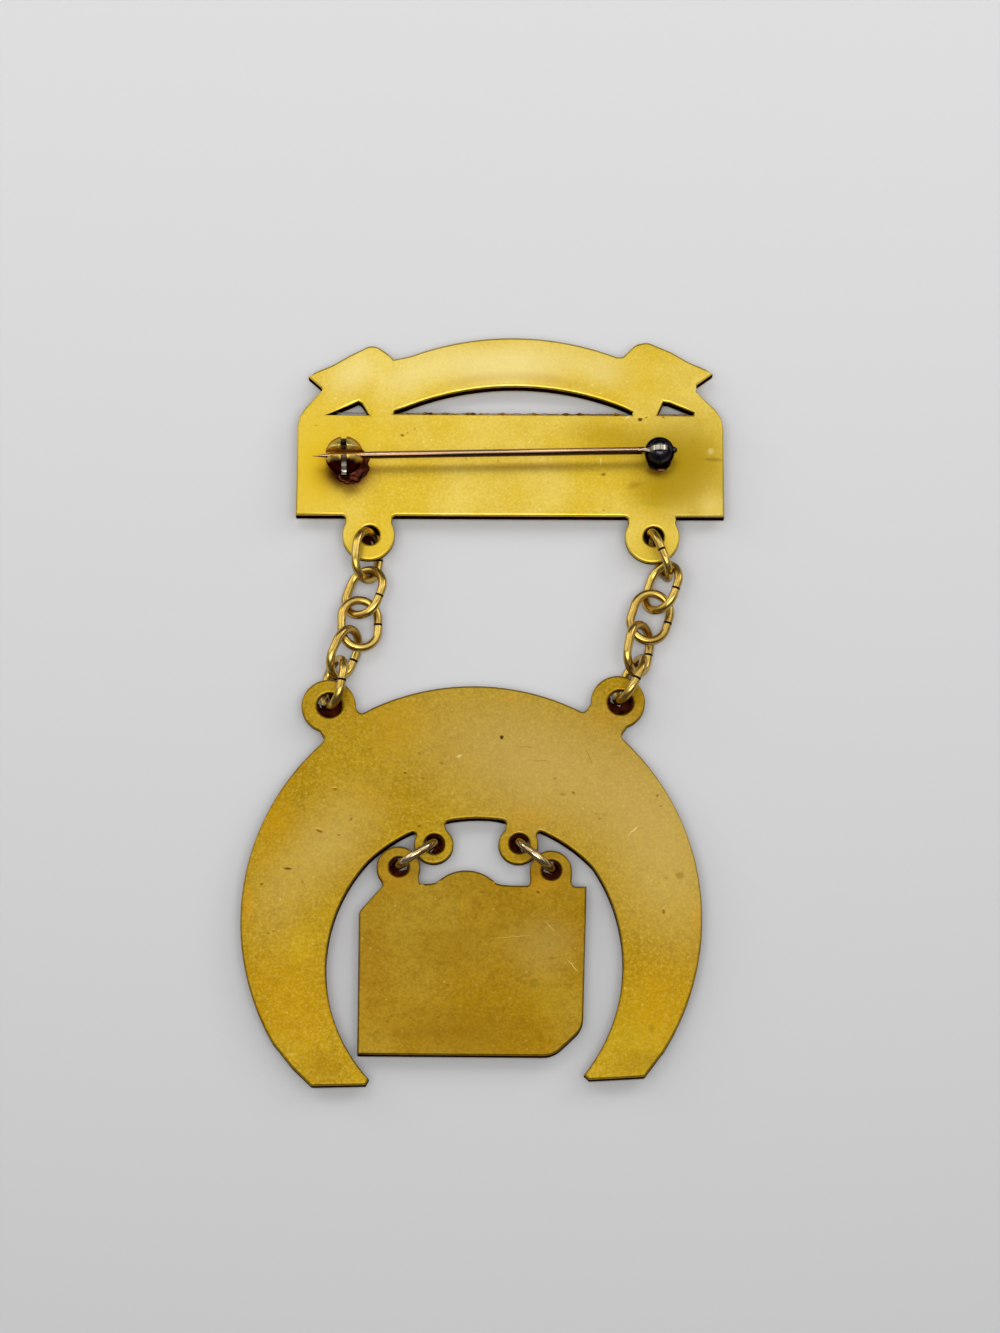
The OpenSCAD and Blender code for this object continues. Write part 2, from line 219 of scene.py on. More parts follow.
def satinGilt(name, look):
    # gilt brass with a satin, slightly pebbled back: a broad soft sheen that is mottled in tone
    material, tree, shader, place = startMetal(name, look["roughness"])
    broad = noiseShare(tree, place, look["patch"], *look["patchRange"], 2.0)
    colour = mixColour(tree, broad, linear(look["pale"]), linear(look["deep"]))
    mottle = noiseShare(tree, place, look["mottle"], *look["mottleRange"], 3.0, look["mottleShare"])
    colour = mixColour(tree, mottle, colour, linear(look["dull"]))
    # the grit of the satin finish is finer than a pixel, so it is drawn about three times as coarse
    grain = addNode(tree, "ShaderNodeTexNoise", {
        "Vector": place, "Scale": 1 / look["grain"], "Detail": 4.0, "Roughness": 0.75})
    for full, tone in zip(look["grainRange"], ("dull", "spark")):
        share = addNode(tree, "ShaderNodeMapRange", {
            0: grain.outputs[0], 1: 0.5, 2: full, 4: look["grainShare"]}).outputs[0]
        colour = mixColour(tree, share, colour, linear(look[tone]))
    height = addNode(tree, "ShaderNodeMath", {0: grain.outputs[0], 1: look["grainDepth"]},
                     operation="MULTIPLY").outputs[0]
    # bright flecks, and small brown pinholes
    for dots in look["dots"]:
        share = dotShare(tree, place, dots["gap"], dots["size"], dots["rare"])
        share = addNode(tree, "ShaderNodeMath", {0: share, 1: dots["strength"]},
                        operation="MULTIPLY").outputs[0]
        colour = mixColour(tree, share, colour, linear(tones[dots["tone"]]))
    if "arc" in look:
        colour = paintArc(tree, place, colour, look["arc"])
    # the marks' rims wander a little
    wander = addNode(tree, "ShaderNodeTexNoise", {
        "Vector": place, "Scale": 1 / look["wanderSize"], "Detail": 4.0})
    shifted = addNode(tree, "ShaderNodeVectorMath", {
        0: wander.outputs["Color"], 1: (look["wander"],) * 3, 2: place},
        operation="MULTIPLY_ADD").outputs[0]
    centred = addNode(tree, "ShaderNodeVectorMath", {
        0: shifted, 1: (look["wander"] / 2,) * 3}, operation="SUBTRACT").outputs[0]
    colour, height = paintMarks(tree, centred, colour, height, look)
    bump = addNode(tree, "ShaderNodeBump", {"Strength": 1.0, "Distance": mm, "Height": height})
    tree.links.new(bump.outputs[0], shader.inputs["Normal"])
    tree.links.new(colour, shader.inputs["Base Color"])
    return material


tones = {
    "pit": "#4A3208", "brown": "#7A4E10", "rust": "#7A3A10", "maroon": "#3A0D08",
    "orange": "#D08A10", "amber": "#BA8A0E", "gold": "#D8B41E", "moss": "#A6860A",
    "sage": "#B09618", "olive": "#746010", "shade": "#7C5A0C", "wheat": "#C6AE66",
    "cream": "#EEDE9A", "fleck": "#F0DC80"}

# what the three backs share: sizes in millimetres, and the values of the noise, about 0.5, between
# which a tone comes in
satinLook = {
    "patchRange": (0.36, 0.64), "mottleRange": (0.42, 0.75), "grainRange": (0.28, 0.72),
    "grain": 0.32, "grainDepth": 0.012, "wander": 0.35, "wanderSize": 0.625}
barLook = dict(satinLook, **{
    "roughness": 0.42, "patch": 8.0, "pale": "#E2C85C", "deep": "#D8B732", "mottle": 1.6,
    "mottleShare": 0.25, "dull": "#C29D20", "grainShare": 0.4, "spark": "#EAD784",
    "dots": [
        {"gap": 0.9, "size": 0.3, "rare": 0.55, "tone": "fleck", "strength": 0.45},
        {"gap": 1.7, "size": 0.26, "rare": 0.7, "tone": "brown", "strength": 0.5}],
    "arc": {"centre": (2.7, 9.95), "radius": 24.35, "core": 0.1, "halfWidth": 0.75,
            "halfLength": 9.0, "tone": "amber", "strength": 0.42},
    "marks": [
        # broad tones: a pale ribbon that is painted sheen, a yellow left side, and a darker right
        # side round the joint
        (1.6, 35.7, 22.0, 5.6, 0, 0.9, "cream", 0.6, 0),
        (-8.0, 34.0, 8.0, 4.0, 20, 0.9, "cream", 0.35, 0),
        (-13.6, 34.6, 7.0, 5.0, 35, 0.9, "cream", 0.45, 0),
        (12.4, 34.6, 6.0, 4.4, -20, 0.9, "cream", 0.35, 0),
        (15.5, 33.8, 8.0, 4.4, -30, 0.9, "gold", 0.35, 0),
        (-17.0, 24.6, 8.0, 15.0, 0, 0.95, "gold", 0.9, 0),
        (-12.0, 27.6, 9.0, 4.0, 0, 0.9, "gold", 0.4, 0),
        (20.0, 24.4, 13.0, 14.0, 0, 0.9, "moss", 0.8, 0),
        (19.0, 25.6, 9.0, 8.0, 0, 0.95, "moss", 0.6, 0),
        (13.0, 27.6, 12.0, 5.0, -8, 0.95, "moss", 0.6, 0),
        (17.4, 21.9, 7.6, 4.0, 0, 0.9, "moss", 0.6, 0),
        (22.6, 20.4, 3.0, 4.0, 0, 0.95, "fleck", 0.35, 0),
        (-11.8, 16.4, 6.0, 5.4, 0, 0.9, "gold", 0.6, 0),
        (17.0, 16.2, 6.0, 5.4, 0, 0.9, "gold", 0.5, 0),
        (4.0, 24.6, 13.0, 1.1, 1, 0.95, "amber", 0.3, 0),
        # the stain round the catch's foot
        (-14.0, 23.7, 7.6, 5.0, 0, 0.95, "rust", 0.5, 0),
        (-14.1, 23.9, 6.0, 4.2, -8, 0.8, "rust", 0.6, 0),
        (-14.0, 24.2, 4.8, 3.7, 0, 0.5, "maroon", 0.85, 0),
        (-13.6, 22.0, 2.2, 1.4, 0, 0.9, "shade", 0.5, 0),
        (17.2, 24.1, 2.6, 1.2, 0, 0.7, "rust", 0.6, 0),
        # spots, pits and scratches
        (-8.5, 27.9, 0.45, 0.4, 0, 0.8, "rust", 0.8, 0.01),
        (-8.0, 28.2, 0.3, 0.25, 0, 0.8, "brown", 0.5, 0),
        (-7.2, 28.6, 0.26, 0.22, 0, 0.8, "brown", 0.6, 0),
        (-2.0, 25.4, 0.26, 0.24, 0, 0.8, "brown", 0.6, 0),
        (0.0, 26.4, 0.3, 0.26, 0, 0.8, "brown", 0.5, 0),
        (1.2, 25.2, 0.26, 0.24, 0, 0.8, "brown", 0.5, 0),
        (2.8, 26.3, 0.3, 0.26, 0, 0.8, "brown", 0.5, 0),
        (15.6, 29.6, 0.55, 0.4, 20, 0.6, "pit", 0.95, 0.05),
        (16.2, 29.8, 0.4, 0.2, 30, 0.7, "brown", 0.7, 0.02),
        (18.0, 29.9, 0.4, 0.3, 0, 0.7, "rust", 0.7, 0.02),
        (11.8, 23.7, 0.65, 0.5, 20, 0.8, "olive", 0.8, 0.01),
        (11.6, 25.1, 0.9, 0.14, 90, 0.6, "cream", 0.7, 0),
        (14.5, 29.9, 1.3, 0.28, 33, 0.6, "cream", 0.7, 0),
        (22.9, 25.3, 2.4, 0.5, -3, 0.8, "olive", 0.5, 0),
        (22.7, 26.2, 0.8, 0.8, 0, 0.8, "cream", 0.35, 0),
        (-17.2, 29.0, 0.5, 0.3, 0, 0.8, "shade", 0.4, 0),
        (17.0, 20.6, 5.0, 0.9, -6, 0.9, "sage", 0.4, 0),
        (15.0, 22.6, 2.0, 0.8, 15, 0.9, "shade", 0.35, 0),
        (8.6, 30.6, 3.0, 0.4, -3, 0.9, "amber", 0.4, 0),
    ]})
crescentLook = dict(satinLook, **{
    "roughness": 0.44, "pale": "#AC8B1A", "deep": "#A37F0C", "dull": "#80600A", "spark": "#C0A654",
    "patch": 10.0, "mottle": 1.1, "mottleShare": 0.4, "grainShare": 0.6,
    "dots": [
        {"gap": 0.8, "size": 0.26, "rare": 0.6, "tone": "fleck", "strength": 0.22},
        {"gap": 1.1, "size": 0.3, "rare": 0.6, "tone": "brown", "strength": 0.4}],
    "marks": [
        # broad tones
        (6.0, -6.4, 34.0, 17.0, -18, 0.98, "wheat", 0.48, 0),
        (17.5, -15.5, 15.0, 24.0, 20, 0.98, "wheat", 0.45, 0),
        (-15.5, -14.5, 17.0, 9.0, 50, 0.98, "wheat", 0.35, 0),
        (-20.6, -20.4, 7.0, 12.0, 0, 0.98, "wheat", 0.15, 0),
        (-8.6, -2.4, 8.0, 7.0, 30, 0.95, "amber", 0.35, 0),
        (-20.5, -12.4, 5.0, 6.0, 0, 0.9, "amber", 0.4, 0),
        (-11.7, -9.6, 4.2, 3.4, 0, 0.95, "amber", 0.25, 0),
        (-21.4, -15.9, 3.4, 3.4, 0, 0.9, "amber", 0.25, 0),
        (-23.2, -20.4, 5.0, 1.2, 92, 0.9, "orange", 0.22, 0),
        (20.5, -22.0, 3.6, 1.2, 90, 0.9, "orange", 0.2, 0),
        (2.4, 0.4, 2.2, 1.2, 0, 0.8, "orange", 0.15, 0),
        (4.1, -11.8, 4.4, 2.6, 0, 0.95, "orange", 0.18, 0),
        (11.5, -1.8, 2.8, 2.4, 0, 0.95, "orange", 0.14, 0),
        (-18.6, -30.0, 9.0, 13.0, 20, 0.98, "amber", 0.3, 0),
        (-18.0, -24.6, 4.0, 5.0, 0, 0.95, "gold", 0.16, 0),
        (-15.6, -36.6, 6.0, 4.0, 0, 0.9, "shade", 0.3, 0),
        (14.6, -33.5, 10.0, 10.0, -20, 0.95, "sage", 0.3, 0),
        (16.6, -30.0, 8.0, 11.0, -10, 0.98, "amber", 0.28, 0),
        (14.6, -36.2, 6.0, 3.4, 0, 0.9, "shade", 0.3, 0),
        # dots and pits
        (1.6, -3.7, 0.42, 0.42, 0, 0.5, "pit", 1.0, 0.06),
        (-7.9, -7.3, 0.42, 0.34, 0, 0.7, "brown", 0.85, 0.03),
        (-6.6, -5.3, 0.34, 0.3, 0, 0.8, "brown", 0.6, 0),
        (-6.2, -7.9, 0.34, 0.3, 0, 0.8, "brown", 0.6, 0),
        (-6.5, -12.7, 0.42, 0.36, 0, 0.7, "brown", 0.8, 0.03),
        (-14.8, -9.0, 0.55, 0.34, -35, 0.7, "brown", 0.8, 0.03),
        (-13.2, -12.0, 0.5, 0.3, 50, 0.7, "brown", 0.75, 0.02),
        (-16.3, -13.2, 0.9, 0.34, -30, 0.7, "brown", 0.85, 0.04),
        (-14.4, -13.6, 0.4, 0.3, 0, 0.7, "brown", 0.7, 0.02),
        (-19.4, -17.0, 0.95, 0.3, -6, 0.6, "pit", 0.8, 0.04),
        (-21.9, -18.5, 0.4, 0.34, 0, 0.7, "brown", 0.8, 0.03),
        (-17.9, -18.4, 0.5, 0.4, -40, 0.8, "brown", 0.5, 0),
        (-21.2, -23.4, 0.45, 0.2, 15, 0.6, "brown", 0.75, 0.02),
        (-20.6, -23.2, 0.4, 0.18, 15, 0.6, "brown", 0.7, 0.02),
        (8.6, -9.3, 0.45, 0.4, 0, 0.7, "brown", 0.7, 0.03),
        (7.6, -9.5, 0.8, 0.5, 0, 0.9, "shade", 0.5, 0),
        (6.8, -7.9, 0.4, 0.3, 0, 0.8, "brown", 0.6, 0),
        (16.9, -9.6, 0.4, 0.34, 0, 0.7, "brown", 0.7, 0.02),
        (17.2, -10.7, 0.4, 0.3, 0, 0.7, "brown", 0.6, 0.02),
        (17.4, -21.3, 0.36, 0.65, 0, 0.6, "brown", 0.8, 0.03),
        (17.7, -18.0, 0.5, 0.3, 0, 0.8, "brown", 0.4, 0),
        (19.0, -17.7, 0.9, 0.85, 0, 0.5, "shade", 0.45, 0),
        (16.1, -32.8, 0.9, 0.85, 0, 0.5, "shade", 0.3, 0),
        # scratches
        (11.2, -11.5, 2.2, 0.12, -10, 0.6, "shade", 0.6, 0.01),
        (11.2, -12.0, 0.5, 0.2, 0, 0.7, "brown", 0.6, 0),
        (14.5, -13.2, 1.9, 0.12, 45, 0.6, "cream", 0.5, 0),
        (12.8, -5.5, 1.2, 0.12, 12, 0.6, "shade", 0.6, 0.01),
        (10.2, -5.7, 2.1, 0.12, -70, 0.6, "shade", 0.5, 0.01),
        (3.9, -4.7, 2.3, 0.1, -2, 0.6, "shade", 0.5, 0),
        (5.4, -6.1, 2.0, 0.14, -3, 0.6, "brown", 0.5, 0.01),
        (-4.4, -6.4, 0.9, 0.3, -25, 0.8, "shade", 0.45, 0),
        (-2.6, -5.6, 0.7, 0.3, 20, 0.8, "cream", 0.4, 0),
    ]})
plaqueLook = dict(satinLook, **{
    "roughness": 0.46, "pale": "#9E7F22", "deep": "#95710E", "dull": "#74540C", "spark": "#A88B3A",
    "patch": 9.0, "mottle": 1.0, "mottleShare": 0.42, "grainShare": 0.55,
    "dots": [
        {"gap": 0.8, "size": 0.26, "rare": 0.6, "tone": "fleck", "strength": 0.14},
        {"gap": 0.9, "size": 0.28, "rare": 0.6, "tone": "brown", "strength": 0.35}],
    "marks": [
        # broad tones
        (-11.1, -26.6, 12.0, 4.6, 90, 0.95, "rust", 0.15, 0),
        (-4.6, -33.2, 13.0, 1.6, 0, 0.95, "rust", 0.14, 0),
        (-4.0, -25.0, 9.0, 6.0, 0, 0.95, "shade", 0.25, 0),
        (-2.0, -33.4, 17.0, 6.5, 0, 0.95, "shade", 0.45, 0),
        (5.6, -24.6, 8.6, 7.0, 10, 0.95, "wheat", 0.2, 0),
        (4.6, -23.6, 8.0, 5.6, 10, 0.95, "olive", 0.18, 0),
        (6.0, -29.8, 5.0, 4.6, 0, 0.98, "sage", 0.16, 0),
        (-8.6, -17.6, 4.4, 4.4, 0, 0.95, "orange", 0.16, 0),
        (5.6, -18.0, 4.4, 4.4, 0, 0.95, "orange", 0.2, 0),
        (-2.3, -21.2, 3.4, 0.7, 92, 0.98, "amber", 0.2, 0),
        (-1.2, -21.0, 3.0, 0.5, 96, 0.9, "rust", 0.2, 0),
        # stains, spots and scratches
        (4.7, -28.4, 1.1, 1.05, 0, 0.4, "olive", 0.45, 0),
        (5.4, -33.9, 0.9, 0.85, 0, 0.5, "olive", 0.3, 0),
        (5.1, -19.3, 0.42, 0.36, 0, 0.7, "brown", 0.85, 0.03),
        (-0.3, -19.3, 0.4, 0.34, 0, 0.7, "brown", 0.6, 0.02),
        (-4.6, -31.7, 0.4, 0.34, 0, 0.7, "brown", 0.6, 0.02),
        (-3.3, -25.8, 0.4, 0.34, 0, 0.7, "brown", 0.5, 0.02),
        (2.4, -26.2, 0.4, 0.34, 0, 0.7, "brown", 0.5, 0.02),
        (-9.1, -31.6, 0.4, 0.34, 0, 0.7, "brown", 0.6, 0.02),
        (-3.8, -28.5, 0.36, 0.3, 0, 0.7, "brown", 0.5, 0.02),
        (0.4, -31.3, 0.36, 0.3, 0, 0.7, "brown", 0.5, 0.02),
        (8.5, -26.7, 1.9, 0.14, -49, 0.7, "wheat", 0.8, 0),
        (6.6, -25.9, 1.9, 0.3, 5, 0.8, "olive", 0.5, 0),
        (2.5, -23.8, 4.8, 0.12, 4, 0.7, "wheat", 0.4, 0),
        (6.3, -22.8, 1.6, 0.12, -49, 0.7, "wheat", 0.5, 0),
    ]})

# the backs step down in tone from the bar to the plaque: partly their own tone, partly painted
# falloff of the sheen towards the plaque
giltBar = satinGilt("satin gilt brass, bright", barLook)
giltCrescent = satinGilt("satin gilt brass, mottled", crescentLook)
giltPlaque = satinGilt("satin gilt brass, darker ochre", plaqueLook)


def brownedMetal(name, look):
    # a metal with two mixed tones; it may have another tone on what lies below a line across one
    # axis (a stain, and on the catch's ball painted shade as well), and painted shade on what faces
    # one way
    material, tree, shader, place = startMetal(name, look["roughness"])
    if "rimTint" in look:
        # an oxide layer dulls the mirror that a metal's side is when it is seen almost edge on
        shader.inputs["Specular Tint"].default_value = linear(look["rimTint"])
    share = noiseShare(tree, place, look["patch"], *tarnish["range"], 4.0)
    colour = mixColour(tree, share, linear(look["first"]), linear(look["second"]))
    if "stain" in look:
        along = addNode(tree, "ShaderNodeSeparateXYZ", {0: place}).outputs[look["axis"]]
        wander = addNode(tree, "ShaderNodeTexNoise", {
            "Vector": place, "Scale": 1 / tarnish["wanderSize"], "Detail": 3.0}).outputs[0]
        line = addNode(tree, "ShaderNodeMath", {0: wander, 1: look["wander"], 2: along},
                       operation="MULTIPLY_ADD").outputs[0]
        middle = look["stainTo"] + look["wander"] / 2
        near = addNode(tree, "ShaderNodeMapRange", {
            0: line, 1: middle + look["blend"], 2: middle - look["blend"]},
            interpolation_type="SMOOTHSTEP").outputs[0]
        colour = mixColour(tree, near, colour, linear(look["stain"]))
    # painted shade: the side that faces one way is darker, as if turned from the light
    if "flank" in look:
        normal = addNode(tree, "ShaderNodeTexCoord").outputs["Normal"]
        turned = addNode(tree, "ShaderNodeVectorMath", {0: normal, 1: look["flankTo"]},
                         operation="DOT_PRODUCT").outputs["Value"]
        flank = addNode(tree, "ShaderNodeMapRange", {
            0: turned, 1: look["flankFrom"], 2: look["flankFull"], 4: look["flankShare"]},
            interpolation_type="SMOOTHSTEP").outputs[0]
        colour = mixColour(tree, flank, colour, linear(look["flank"]))
    tree.links.new(colour, shader.inputs["Base Color"])
    return material


# stamped and sawn edges are dull, and darker than the backs: partly browned metal, partly painted
# shade; drawn wire is polished, with clear highlights between sides painted dark as shade; the
# joint is blackened, its underside painted black as shade; solder has browned to maroon
tarnish = {"range": (0.4, 0.65), "wanderSize": 2 / 3}
edgeBrownAndShade = brownedMetal("browned brass edge, painted shade", {
    "roughness": 0.45, "patch": 0.6, "first": "#4A200A", "second": "#1C0C04", "rimTint": "#6A3414"})
cutBrass = brownedMetal("brass dark in the cut", {
    "roughness": 0.5, "patch": 0.3, "first": "#2A1606", "second": "#140A04"})
# painted shade: the dark inside of the ears' cups
cupShadeBrass = brownedMetal("dark brass, painted shade in the holes", {
    "roughness": 0.5, "patch": 0.5, "first": "#4A1A0C", "second": "#200A05", "rimTint": "#6A2C1C"})
darkLineBrass = brownedMetal("dark rough line", {
    "roughness": 0.4, "patch": 0.5, "first": "#9A7420", "second": "#4A2E0C"})
# painted shade: the wire's underside is painted dark brown
wireBrass = brownedMetal("polished brass wire", {
    "roughness": 0.26, "patch": 2.4, "first": "#D8B85E", "second": "#BC9848",
    "flank": "#5A3210", "flankShare": 0.5, "flankTo": (0, 0, -1), "flankFrom": -0.75,
    "flankFull": 0.0})
# painted shade: the ring's underside is painted brown
ringBrass = brownedMetal("polished pale brass ring", {
    "roughness": 0.2, "patch": 1.2, "first": "#E4D2A4", "second": "#B8986A", "flank": "#6A4018",
    "flankShare": 0.85, "flankTo": (0, 0, -1), "flankFrom": -0.75, "flankFull": 0.0})
# painted shade: the pin's side that faces the plaque is painted dark red-brown
pinSteel = brownedMetal("browned pin wire", {
    "roughness": 0.24, "patch": 3.0, "first": "#B4AE9A", "second": "#8C8678",
    "flank": "#34120A", "flankShare": 0.9, "flankTo": (0, -1, 0), "flankFrom": 0.08,
    "flankFull": 0.4,
    "stain": "#DCB488", "axis": 0, "stainTo": jointAt.x / mm - 1.7, "blend": 0.5, "wander": 0.3})
# the ball's half towards the plaque is maroon: partly solder stain, partly painted shade of the
# side turned from the light
catchGiltStainAndShade = brownedMetal("gilt ball, maroon below from stain and painted shade", {
    "roughness": 0.36, "patch": 1.6, "first": "#F2DA78", "second": "#D0A848", "rimTint": "#7A5020",
    "stain": "#3C100E", "axis": 1, "stainTo": catchAt.y / mm - 0.8, "blend": 0.3, "wander": 0.7})
catchNickel = brownedMetal("dull nickel, tarnished", {
    "roughness": 0.34, "patch": 0.8, "first": "#3A3020", "second": "#241A10",
    "stain": "#C4BEB0", "axis": 1, "stainTo": catchAt.y / mm - 1.15, "blend": 0.2, "wander": 0.2})
# painted shade: the joint's underside is painted near black
blackSteel = brownedMetal("blackened steel", {
    "roughness": 0.24, "patch": 0.8, "first": "#48444A", "second": "#2C282C", "rimTint": "#302C38",
    "flank": "#08070C", "flankShare": 1.0, "flankTo": (0, 0, -1), "flankFrom": -0.35,
    "flankFull": 0.1})
solderMaroon = brownedMetal("browned solder", {
    "roughness": 0.36, "patch": 0.9, "first": "#54281A", "second": "#240906"})
solderRed = brownedMetal("reddened solder", {
    "roughness": 0.32, "patch": 0.5, "first": "#3A2814", "second": "#201408",
    "stain": "#5C3C28", "axis": 1, "stainTo": jointAt.y / mm - 1.35, "blend": 0.1, "wander": 0.3})
print("materials made")


# Plates

# Each plate's outline in millimetres: where it is eased over, as place, reach and shift; which ears
# are fuller, as place, least and greatest radius and how much; which corners are rounder, as place
# and width; and which nooks stay sharp
plates = {
    "top_bar": {
        "name": "bar_plate", "slot": "bright_gilt", "material": giltBar,
        "eased": ((-10.21, 36.52, 1.0, 0.8, -0.4), (15.35, 37.6, 0.8, -0.28, 0.0),
                  (13.69, 36.39, 0.3, 0.2, 0.0), (21.65, 33.0, 1.4, -0.36, 0.0),
                  (-12.35, 31.35, 0.5, -0.3, -0.1), (-9.1, 30.3, 0.7, -0.35, 0.0),
                  (14.6, 30.15, 0.7, -0.42, 0.0)),
        "fuller": (), "corners": (), "sharp": ((19.1, 19.26),)},
    "crescent": {
        "name": "crescent_plate", "slot": "satin_gilt", "material": giltCrescent,
        "eased": (), "fuller": (), "corners": (), "sharp": ()},
    "plaque": {
        "name": "plaque_plate", "slot": "dark_gilt", "material": giltPlaque, "eased": (),
        "fuller": ((-8.5, -16.8, 1.5, 2.2, 0.07), (6.45, -17.1, 1.5, 2.2, 0.07)),
        "corners": ((-4.95, -18.55, 1.3), (1.2, -18.65, 1.3), (7.1, -35.3, 0.9), (9.8, -32.6, 0.9),
                    (-12.5, -21.4, 0.4), (8.36, -18.75, 0.5)),
        "sharp": ()}}
backRim = 0.22 * mm                    # the back's worn edge
frontRim = 0.3 * mm                    # the raised field's edge in front
thinRim = 0.1 * mm                     # the other edges in front
earNook = 0.4 * mm                     # the solder in the nooks beside the ears
cornerReach = 0.9 * mm                 # how near to its place a corner is looked for
cornerNear = 0.1 * mm                  # and how near a nook that stays sharp
fieldTop = 0.6 * mm                    # where the raised field ends
fieldNear = 0.05 * mm                  # an edge this near to it is the field's own
earFoot = 1.4 * mm                     # the ears are thin, and start above this
leastSide = 0.3 * mm                   # a shorter upright edge is no corner of a side
cornerTurns = ((-110, -12), (12, 110))     # degrees that the outline turns at a corner
nookTurns = (-110, -60)                # and inwards at a nook
sharpTurn = 50                         # degrees over which an edge is rounded off
sideSlope = 0.2                        # the sides' normals are no more upright than this
frontSlope = -0.9                      # and the front's at least this much


def reshape(bm, plate):
    # moves the outline's corners over a little; front and back move together
    for x, y, reach, across, up in plate["eased"]:
        for v in bm.verts:
            near = 1 - (v.co.to_2d() / mm - Vector((x, y))).length / reach
            if near > 0:
                v.co += near * near * (3 - 2 * near) * Vector((across, up, 0)) * mm
    for x, y, least, most, more in plate["fuller"]:
        for v in bm.verts:
            out = v.co.to_2d() / mm - Vector((x, y))
            if least < out.length < most:
                v.co += (out.normalized() * more * mm).to_3d()


def uprightEdges(bm, least, most):
    # the upright edges of a plate's sides that turn this far; a nook's turn is negative
    found = []
    for e in bm.edges:
        low, high = sorted(v.co.z for v in e.verts)
        upright = (e.verts[0].co - e.verts[1].co).to_2d().length < same
        if e.is_manifold and upright and high - low > leastSide and high > backZ - same:
            if math.radians(least) < e.calc_face_angle_signed() < math.radians(most):
                found.append(e)
    return found


def frontEdges(bm, atField):
    # the front's edges, either round the plate or round what is raised or set back from it
    found = []
    for e in sharpEdges(bm, sharpTurn):
        slopes = [f.normal.z for f in e.link_faces]
        if max(slopes) < sideSlope and min(slopes) < frontSlope:
            if all(abs(v.co.z - fieldTop) < fieldNear for v in e.verts) == atField:
                found.append(e)
    return found


for node, plate in plates.items():
    bm = mergedCopy(node)
    cutAway(bm, backZ, True)
    flatten(bm)
    reshape(bm, plate)
    for x, y, width in plate["corners"]:
        near = [e for turns in cornerTurns for e in uprightEdges(bm, *turns)
                if (e.verts[0].co.to_2d() - Vector((x, y)) * mm).length < cornerReach]
        roundEdges(bm, near, width * mm, 6)
    sharp = [Vector(place) * mm for place in plate["sharp"]]
    nooks = [e for e in uprightEdges(bm, *nookTurns) if min(v.co.z for v in e.verts) > earFoot
             and all((e.verts[0].co.to_2d() - at).length > cornerNear for at in sharp)]
    roundEdges(bm, nooks, earNook, 4)
    rims = [e for e in sharpEdges(bm, sharpTurn)
            if all(abs(v.co.z - backZ) < same for v in e.verts)]
    roundEdges(bm, rims, backRim, 3)
    roundEdges(bm, frontEdges(bm, True), frontRim, 3)
    roundEdges(bm, frontEdges(bm, False), thinRim, 2)
    # the sides get the dark edge material: partly browned metal, partly painted shade
    for face in bm.faces:
        face.material_index = 1 if abs(face.normal.z) < uprightFace else 0
    addPiece(plate["name"], bm, "badge", [plate["material"], edgeBrownAndShade], [node],
             flatBack=True)

# The ears' holes look dark with shade, so each has a cup at the front painted dark brown as that
# shade, open
# where the link or the ring leaves: the hole's centre, its radius, which way the link or the ring
# goes, and half the opening
cups = {
    "bar_left": (-11.65, 17.3, 1.2, -30, 45), "bar_right": (16.85, 17.15, 1.2, -95, 36),
    "crescent_left": (-15.5, -0.4, 1.25, 129, 36), "crescent_right": (13.35, -0.1, 1.25, 112, 37),
    "crescent_inner_left": (-5.05, -14.5, 0.97, 190, 45),
    "crescent_inner_right": (3.3, -14.45, 0.97, -17, 45),
    "plaque_left": (-8.5, -16.8, 0.95, 57, 45), "plaque_right": (6.45, -17.1, 0.95, 118, 45)}
cup = {"top": 1.6 * mm, "foot": 0.12 * mm, "wall": 0.16 * mm}
cupHeight = cup["top"] - cup["foot"]
for name, (x, y, radius, turn, openHalf) in cups.items():
    bm = bmesh.new()
    middle = Vector((x * mm, y * mm, cup["foot"] + cupHeight / 2))
    bmesh.ops.create_cone(bm, cap_ends=True, cap_tris=True, segments=72, radius1=radius * mm,
                          radius2=radius * mm, depth=cupHeight, matrix=Matrix.Translation(middle))
    leaves = Vector((math.cos(math.radians(turn)), math.sin(math.radians(turn))))
    widest = math.cos(math.radians(openHalf))
    bare = []
    for face in bm.faces:
        # the lid goes, and the wall's side towards the link
        out = face.calc_center_median() - middle
        if out.z > cupHeight / 2 - same or out.to_2d().normalized().dot(leaves) > widest:
            bare.append(face)
    bmesh.ops.delete(bm, geom=bare, context="FACES")
    bmesh.ops.solidify(bm, geom=bm.faces[:], thickness=cup["wall"])
    bmesh.ops.recalc_face_normals(bm, faces=bm.faces)
    for face in bm.faces:
        # the foot and the outside are as brown as the plates' edges
        out = face.calc_center_median().to_2d() - middle.to_2d()
        outwards = face.normal.to_2d().dot(out.normalized())
        if face.normal.z < -facingShare or outwards > facingShare:
            face.material_index = 1
    addPiece(name + "_cup", bm, "badge", [cupShadeBrass, edgeBrownAndShade])
print("plates made")


# Findings on the bar

# what is copied from the bar's solid, above one height and within reach; the joint's ball and how
# far it hangs under the hinge; and the joint's neck, from how far below the ball's middle it goes
# straight down, how wide, and how near its middle the points stay
findings = {
    "above": backZ + 0.32 * mm, "reach": 4.0 * mm, "ball": 1.5 * mm, "ballDrop": 0.5 * mm,
    "neckTop": 0.6 * mm, "neckRadius": 1.37 * mm, "neckCore": 0.685 * mm}


